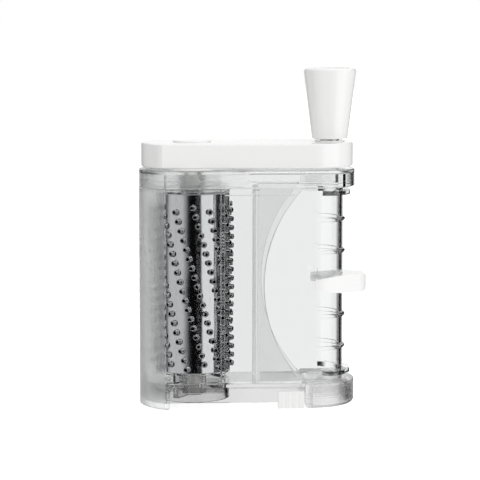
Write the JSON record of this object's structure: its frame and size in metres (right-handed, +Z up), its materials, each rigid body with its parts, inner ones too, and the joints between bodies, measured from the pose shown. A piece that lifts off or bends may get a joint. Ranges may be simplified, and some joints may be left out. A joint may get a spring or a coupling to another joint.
{
  "type": "rotary cheese grater",
  "caption": "Upright clear drum grater for hard cheese: a crank on the lid turns a toothed steel drum while a sliding pusher feeds the cheese.",
  "frame": {"origin": "centre of the overall box, on the table the grater stands on", "axes": "+Z up along the drum, +X from the drum to the pull tab, -Y the front with the base latch"},
  "size_m": [0.119, 0.047, 0.1753],
  "materials": {
    "clear_plastic": "clear moulded plastic, polished, with a frosted left end",
    "white_plastic": "glossy moulded plastic",
    "bearing_plastic": "plain low-friction plastic",
    "drum_steel": "polished stainless steel sheet",
    "shaft_steel": "turned stainless steel"
  },
  "bodies": {
    "housing": {"housing_shell": "clear_plastic", "base_tray": "clear_plastic", "lower_bearing": "bearing_plastic"},
    "lid": {"lid": "clear_plastic", "upper_bearing": "bearing_plastic"},
    "rotor": {"crank_arm": "white_plastic", "crank_collar": "white_plastic", "hub_cap": "white_plastic", "crank_screw": "shaft_steel", "crank_washer": "shaft_steel", "drum_shell": "drum_steel", "drum_top_cap": "clear_plastic", "drum_bottom_cap": "clear_plastic", "drum_shaft": "shaft_steel", "thrust_washer": "bearing_plastic", "knob_axle": "shaft_steel", "knob_washer": "shaft_steel"},
    "knob": {"crank_knob": "white_plastic", "knob_bush": "bearing_plastic", "knob_cap": "white_plastic"},
    "pusher": {"pusher_shell": "clear_plastic", "press_plate": "clear_plastic", "pull_ring": "white_plastic"},
    "latch": {"base_latch": "white_plastic"}
  },
  "joints": [
    {"name": "lid_lift", "type": "slide", "parent": "housing", "child": "lid", "axis": [0, 0, 1], "range_m": [0, 0.12]},
    {"name": "crank_spin", "type": "hinge", "parent": "lid", "child": "rotor", "pos_m": [-0.03175, 0, 0.06], "axis": [0, 0, 1], "continuous": true},
    {"name": "knob_spin", "type": "hinge", "parent": "rotor", "child": "knob", "pos_m": [0.04005, 0, 0.15], "axis": [0, 0, 1], "continuous": true},
    {"name": "pusher_slide", "type": "slide", "parent": "housing", "child": "pusher", "axis": [1, 0, 0], "range_m": [-0.0095, 0.04]},
    {"name": "latch_slide", "type": "slide", "parent": "housing", "child": "latch", "axis": [-1, 0, 0], "range_m": [0, 0.0045]}
  ]
}
